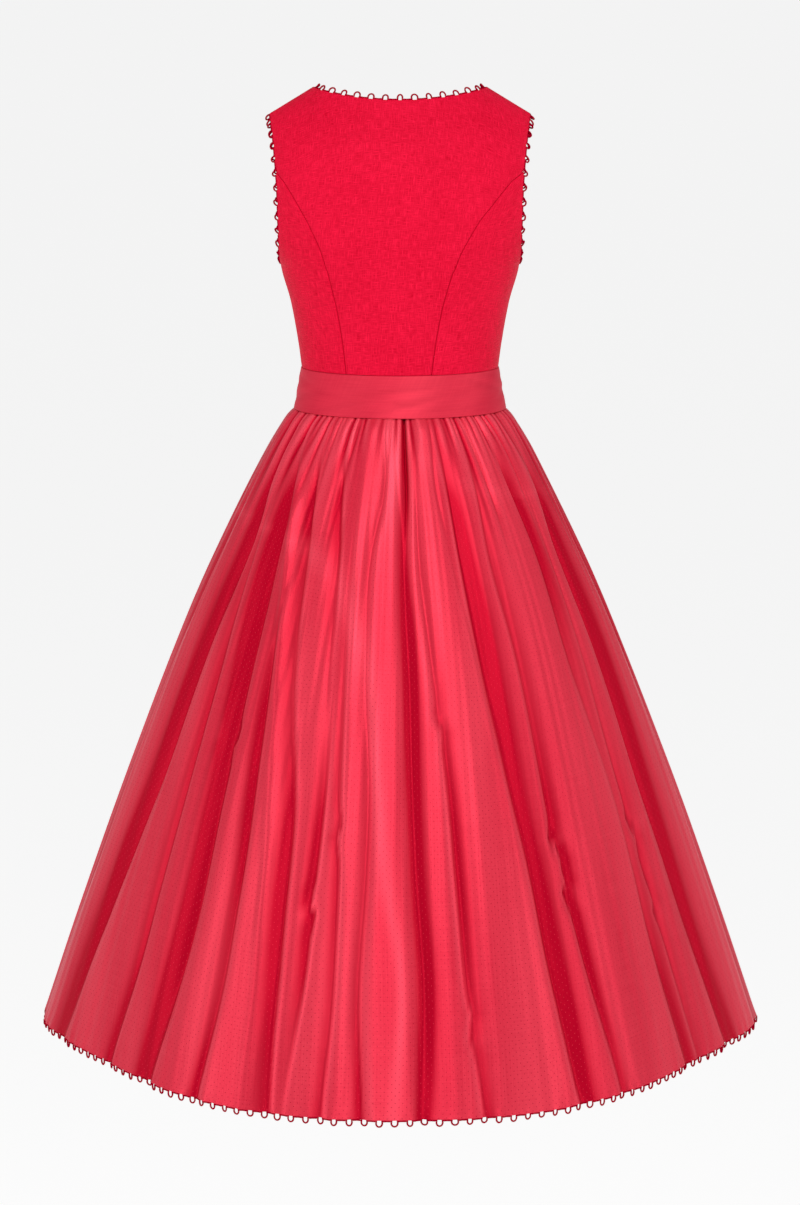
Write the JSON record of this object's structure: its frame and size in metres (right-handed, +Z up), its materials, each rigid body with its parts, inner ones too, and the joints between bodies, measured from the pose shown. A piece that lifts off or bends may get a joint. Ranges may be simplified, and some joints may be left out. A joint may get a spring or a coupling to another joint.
{
  "type": "dirndl",
  "caption": "Sleeveless red dirndl in its worn form: princess-seam bodice, taffeta waistband, full gathered skirt, picot loop edging.",
  "frame": {"origin": "midway between the two shoulder straps, at the height of the straps' undersides", "axes": "+Z up, +Y to the wearer's front, -Y to the wearer's back"},
  "size_m": [0.917, 0.9089, 1.2059],
  "materials": {
    "bodice_cloth": "matt linen weave",
    "skirt_taffeta": "taffeta sheen with pin dots",
    "picot_edging": "corded yarn"
  },
  "bodies": {
    "root": {"bodice_back_centre": "bodice_cloth", "bodice_back_side_left": "bodice_cloth", "bodice_back_side_right": "bodice_cloth", "bodice_front_side_left": "bodice_cloth", "bodice_front_side_right": "bodice_cloth", "bodice_front_centre_left": "bodice_cloth", "bodice_front_centre_right": "bodice_cloth", "waistband": "skirt_taffeta", "skirt_back": "skirt_taffeta", "skirt_front": "skirt_taffeta", "edging_neck": "picot_edging", "edging_armhole_left": "picot_edging", "edging_armhole_right": "picot_edging", "edging_hem": "picot_edging"}
  },
  "joints": []
}
